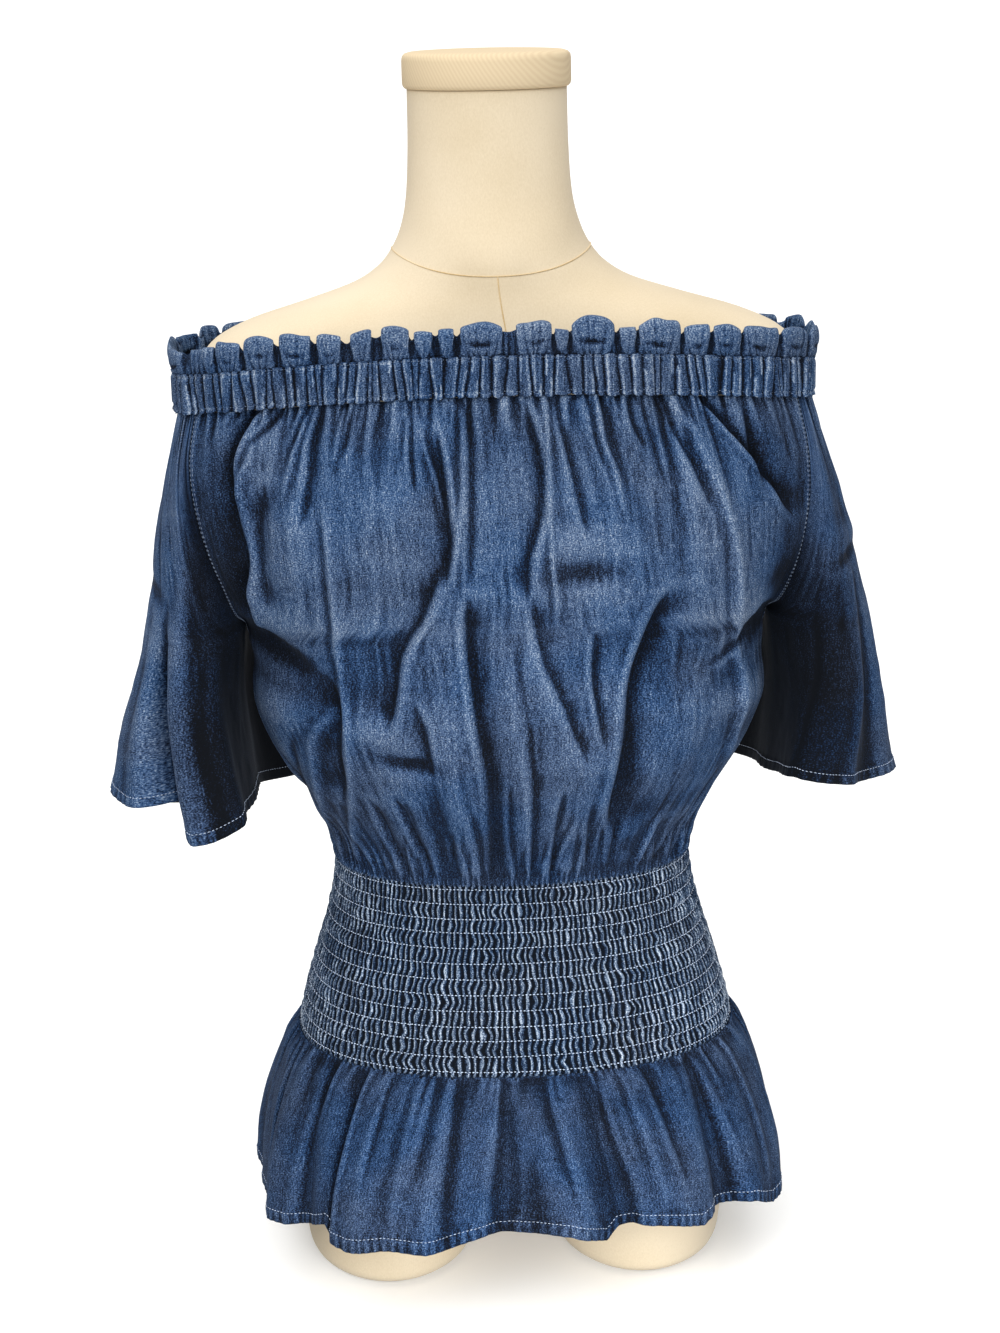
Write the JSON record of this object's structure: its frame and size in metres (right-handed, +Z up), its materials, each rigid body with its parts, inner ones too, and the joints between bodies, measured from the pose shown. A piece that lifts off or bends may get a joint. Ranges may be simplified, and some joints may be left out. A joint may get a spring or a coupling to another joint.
{
  "type": "peasant blouse on dress form",
  "caption": "Off-the-shoulder denim blouse with a ruffled elastic neckline, open flutter sleeves, shirred waist and peplum, worn on a limbless cream dress form",
  "frame": {"origin": "centre of the whole part's footprint, on the surface that the form's two flat thigh ends stand on", "axes": "+Z up, the blouse faces -Y, and the wearer's left sleeve is at +X"},
  "size_m": [0.5236, 0.312, 0.81],
  "materials": {
    "denim": "mid-blue lightweight denim with a slubby vertical grain",
    "shirred_denim": "the same denim, shirred, with paler worn ridges",
    "form_cloth": "matt cream cotton jersey cover",
    "cap_cloth": "matt cream cloth with a fine slanting weave"
  },
  "bodies": {
    "root": {"form_body": "form_cloth", "form_neck_cap": "cap_cloth", "neck_ruffle": "denim", "neck_casing": "denim", "bodice_front": "denim", "bodice_back": "denim", "sleeve_right": "denim", "sleeve_left": "denim", "waist_front": "shirred_denim", "waist_back": "shirred_denim", "peplum_front": "denim", "peplum_back": "denim"}
  },
  "joints": []
}
